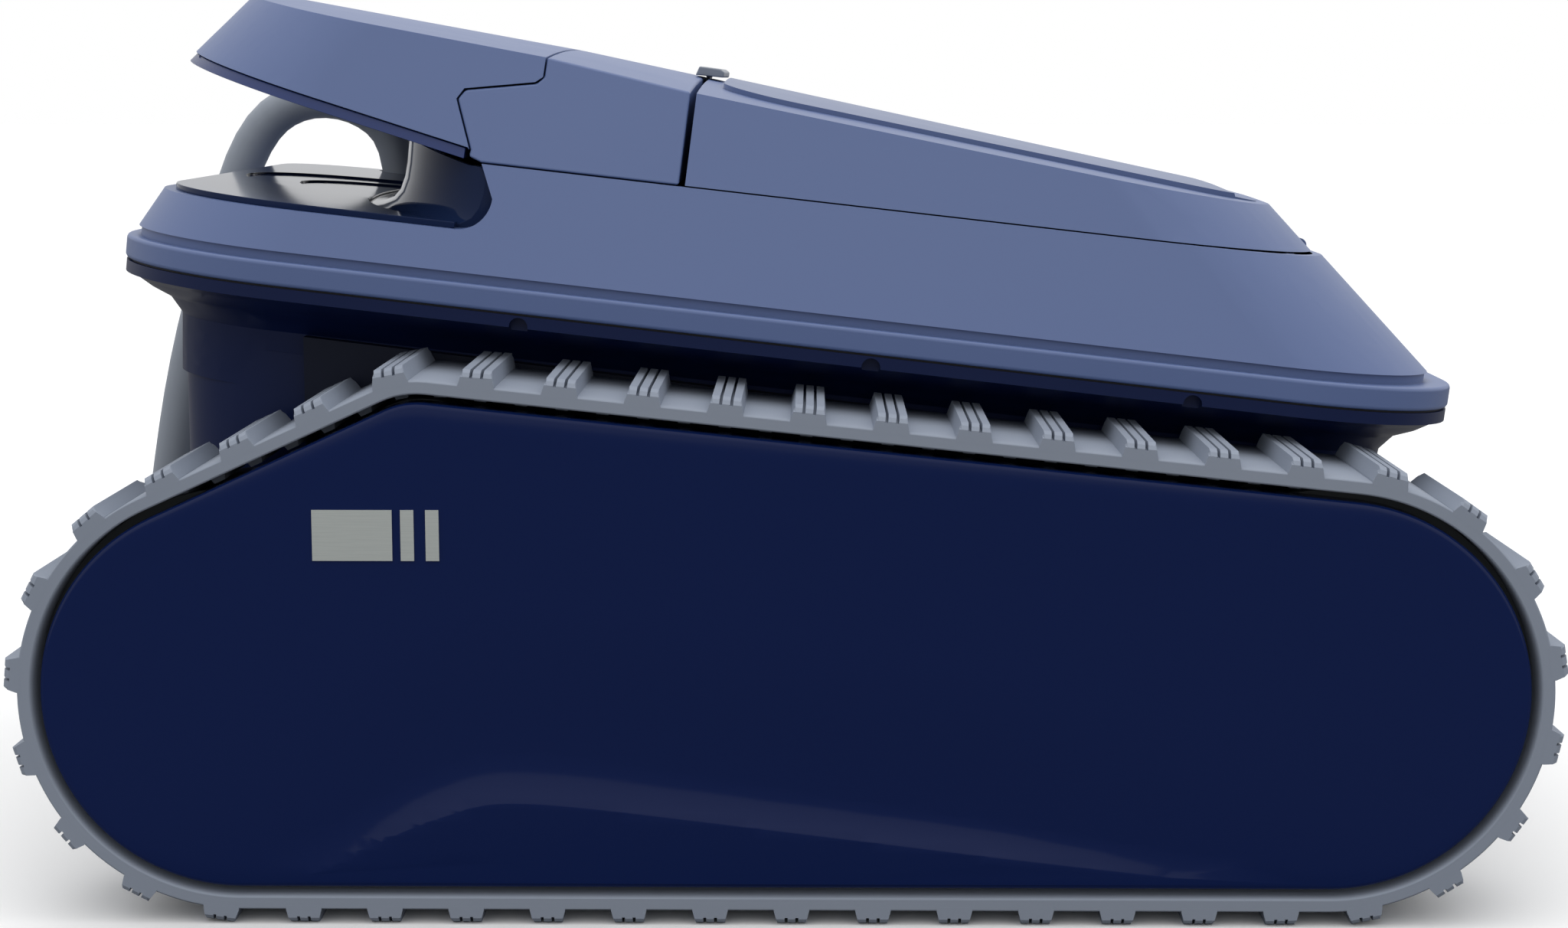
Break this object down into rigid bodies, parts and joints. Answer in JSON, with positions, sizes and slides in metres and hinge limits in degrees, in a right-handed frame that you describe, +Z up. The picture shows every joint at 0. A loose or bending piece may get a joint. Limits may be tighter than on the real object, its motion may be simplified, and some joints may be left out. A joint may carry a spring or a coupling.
{
  "type": "robotic pool cleaner",
  "caption": "Tracked pool cleaner with grey lugged belts, navy side covers, sloping blue shell, lift-up hatch, rear carry hood over a gloss ledge, and a floating power cable.",
  "frame": {"origin": "bottom centre of the cleaner between its two belts, on the floor, the cable not counted", "axes": "+X to the nose, +Y to the cleaner's left, +Z up"},
  "size_m": [0.5113, 0.7097, 0.2836],
  "materials": {
    "navy_tub": "satin moulded navy",
    "navy_frame": "satin moulded navy",
    "navy_cover": "gloss deep navy",
    "blue_shell": "satin slate blue",
    "blue_roof": "satin slate blue",
    "ledge_gloss": "high gloss, almost black blue",
    "lip_navy": "satin dark blue",
    "track_rubber": "moulded grey elastomer",
    "wheel_grey": "matt dark grey",
    "seal_rubber": "soft black",
    "dark_plastic": "matt charcoal",
    "grey_plastic": "matt mid grey",
    "basket_plastic": "matt blue grey",
    "mesh_fabric": "fine woven mesh",
    "screw_steel": "stainless",
    "axle_steel": "stainless",
    "gear_steel": "machined",
    "motor_steel": "black coated can",
    "board": "green laminate",
    "latch_grey": "satin grey blue",
    "cable_grey": "satin foam-filled jacket",
    "tie_black": "hook and loop strap",
    "connector_black": "matt moulded",
    "badge_metal": "fine horizontal brushing",
    "brush_blue": "soft moulded fins"
  },
  "bodies": {
    "chassis": {"axle_set_far": "axle_steel", "axle_set_near": "axle_steel", "basket_frame": "basket_plastic", "basket_mesh": "mesh_fabric", "bottom_plate": "dark_plastic", "bottom_screws": "screw_steel", "bridge_cover": "blue_shell", "cable_coil": "cable_grey", "cable_connector": "connector_black", "cable_gland": "cable_grey", "coil_tie": "tie_black", "control_board": "board", "cover_badge_far": "badge_metal", "cover_badge_near": "badge_metal", "drive_motor_far": "motor_steel", "drive_motor_near": "motor_steel", "flange_seal": "seal_rubber", "float_cable": "cable_grey", "hood_lip": "lip_navy", "hood_shell": "blue_shell", "intake_duct": "dark_plastic", "ledge_panel": "ledge_gloss", "lower_tub": "navy_tub", "motor_box": "grey_plastic", "motor_box_lid": "grey_plastic", "pocket_liner": "ledge_gloss", "pump_motor": "motor_steel", "side_cover_far": "navy_cover", "side_cover_near": "navy_cover", "side_frame_far": "navy_frame", "side_frame_near": "navy_frame", "top_shell": "blue_shell", "track_belt_far": "track_rubber", "track_belt_near": "track_rubber"},
    "hatch": {"hatch_lid": "blue_shell", "hatch_panel": "blue_roof", "hatch_seal": "seal_rubber", "hinge_pins": "screw_steel"},
    "latch": {"latch_tab": "latch_grey"},
    "impeller": {"impeller": "dark_plastic"},
    "intake_flap_near": {"intake_flap_near": "dark_plastic"},
    "intake_flap_far": {"intake_flap_far": "dark_plastic"},
    "brush_front": {"brush_core_front": "dark_plastic", "brush_sleeve_front": "brush_blue"},
    "brush_rear": {"brush_core_rear": "dark_plastic", "brush_sleeve_rear": "brush_blue"},
    "drive_near": {"drive_wheel_near": "wheel_grey", "drive_shaft_near": "axle_steel"},
    "front_wheel_near": {"front_wheel_near": "wheel_grey"},
    "upper_roller_near": {"upper_roller_near": "wheel_grey"},
    "motor_pinion_near": {"motor_pinion_near": "gear_steel"},
    "support_roller_1_near": {"support_roller_1_near": "wheel_grey"},
    "support_roller_2_near": {"support_roller_2_near": "wheel_grey"},
    "drive_far": {"drive_wheel_far": "wheel_grey", "drive_shaft_far": "axle_steel"},
    "front_wheel_far": {"front_wheel_far": "wheel_grey"},
    "upper_roller_far": {"upper_roller_far": "wheel_grey"},
    "motor_pinion_far": {"motor_pinion_far": "gear_steel"},
    "support_roller_1_far": {"support_roller_1_far": "wheel_grey"},
    "support_roller_2_far": {"support_roller_2_far": "wheel_grey"}
  },
  "joints": [
    {"name": "hatch_hinge", "type": "hinge", "parent": "chassis", "child": "hatch", "pos_m": [0.17375, 0, 0.19907], "axis": [0, 1, 0], "range_deg": [0, 95]},
    {"name": "latch_slide", "type": "slide", "parent": "hatch", "child": "latch", "axis": [0, 1, 0], "range_m": [0, 0.008]},
    {"name": "impeller_spin", "type": "hinge", "parent": "chassis", "child": "impeller", "pos_m": [-0.128, 0, 0.16], "axis": [0, 0, 1], "continuous": true},
    {"name": "intake_flap_near_hinge", "type": "hinge", "parent": "chassis", "child": "intake_flap_near", "pos_m": [0.0206, -0.038, 0.054], "axis": [0, -1, 0], "range_deg": [0, 80]},
    {"name": "intake_flap_far_hinge", "type": "hinge", "parent": "chassis", "child": "intake_flap_far", "pos_m": [0.0206, 0.038, 0.054], "axis": [0, -1, 0], "range_deg": [0, 80]},
    {"name": "drive_spin_near", "type": "hinge", "parent": "chassis", "child": "drive_near", "pos_m": [-0.165, -0.15, 0.0709], "axis": [0, 1, 0], "continuous": true},
    {"name": "front_wheel_spin_near", "type": "hinge", "parent": "chassis", "child": "front_wheel_near", "pos_m": [0.165, -0.15, 0.0709], "axis": [0, 1, 0], "continuous": true},
    {"name": "upper_roller_spin_near", "type": "hinge", "parent": "chassis", "child": "upper_roller_near", "pos_m": [-0.10915, -0.15, 0.1369], "axis": [0, 1, 0], "continuous": true},
    {"name": "motor_pinion_spin_near", "type": "hinge", "parent": "chassis", "child": "motor_pinion_near", "pos_m": [-0.14055, -0.15, 0.0709], "axis": [0, 1, 0], "continuous": true},
    {"name": "support_roller_spin_1_near", "type": "hinge", "parent": "chassis", "child": "support_roller_1_near", "pos_m": [-0.044, -0.15, 0.02925], "axis": [0, 1, 0], "continuous": true},
    {"name": "support_roller_spin_2_near", "type": "hinge", "parent": "chassis", "child": "support_roller_2_near", "pos_m": [0.044, -0.15, 0.02925], "axis": [0, 1, 0], "continuous": true},
    {"name": "drive_spin_far", "type": "hinge", "parent": "chassis", "child": "drive_far", "pos_m": [-0.165, 0.15, 0.0709], "axis": [0, 1, 0], "continuous": true},
    {"name": "front_wheel_spin_far", "type": "hinge", "parent": "chassis", "child": "front_wheel_far", "pos_m": [0.165, 0.15, 0.0709], "axis": [0, 1, 0], "continuous": true},
    {"name": "upper_roller_spin_far", "type": "hinge", "parent": "chassis", "child": "upper_roller_far", "pos_m": [-0.10915, 0.15, 0.1369], "axis": [0, 1, 0], "continuous": true},
    {"name": "motor_pinion_spin_far", "type": "hinge", "parent": "chassis", "child": "motor_pinion_far", "pos_m": [-0.14055, 0.15, 0.0709], "axis": [0, 1, 0], "continuous": true},
    {"name": "support_roller_spin_1_far", "type": "hinge", "parent": "chassis", "child": "support_roller_1_far", "pos_m": [-0.044, 0.15, 0.02925], "axis": [0, 1, 0], "continuous": true},
    {"name": "support_roller_spin_2_far", "type": "hinge", "parent": "chassis", "child": "support_roller_2_far", "pos_m": [0.044, 0.15, 0.02925], "axis": [0, 1, 0], "continuous": true},
    {"name": "brush_spin_front", "type": "hinge", "parent": "chassis", "child": "brush_front", "pos_m": [0.104, 0, 0.02363], "axis": [0, 1, 0], "continuous": true},
    {"name": "brush_spin_rear", "type": "hinge", "parent": "chassis", "child": "brush_rear", "pos_m": [-0.104, 0, 0.02363], "axis": [0, 1, 0], "continuous": true}
  ],
  "couplings": [
    {"joint": "front_wheel_spin_near", "follows": "drive_spin_near", "ratio": 1},
    {"joint": "upper_roller_spin_near", "follows": "drive_spin_near", "ratio": 2.746},
    {"joint": "motor_pinion_spin_near", "follows": "drive_spin_near", "ratio": -2},
    {"joint": "support_roller_spin_1_near", "follows": "drive_spin_near", "ratio": 3.5011},
    {"joint": "support_roller_spin_2_near", "follows": "drive_spin_near", "ratio": 3.5011},
    {"joint": "front_wheel_spin_far", "follows": "drive_spin_far", "ratio": 1},
    {"joint": "upper_roller_spin_far", "follows": "drive_spin_far", "ratio": 2.746},
    {"joint": "motor_pinion_spin_far", "follows": "drive_spin_far", "ratio": -2},
    {"joint": "support_roller_spin_1_far", "follows": "drive_spin_far", "ratio": 3.5011},
    {"joint": "support_roller_spin_2_far", "follows": "drive_spin_far", "ratio": 3.5011},
    {"joint": "brush_spin_front", "follows": "drive_spin_near", "ratio": 4},
    {"joint": "brush_spin_rear", "follows": "drive_spin_far", "ratio": 4}
  ]
}
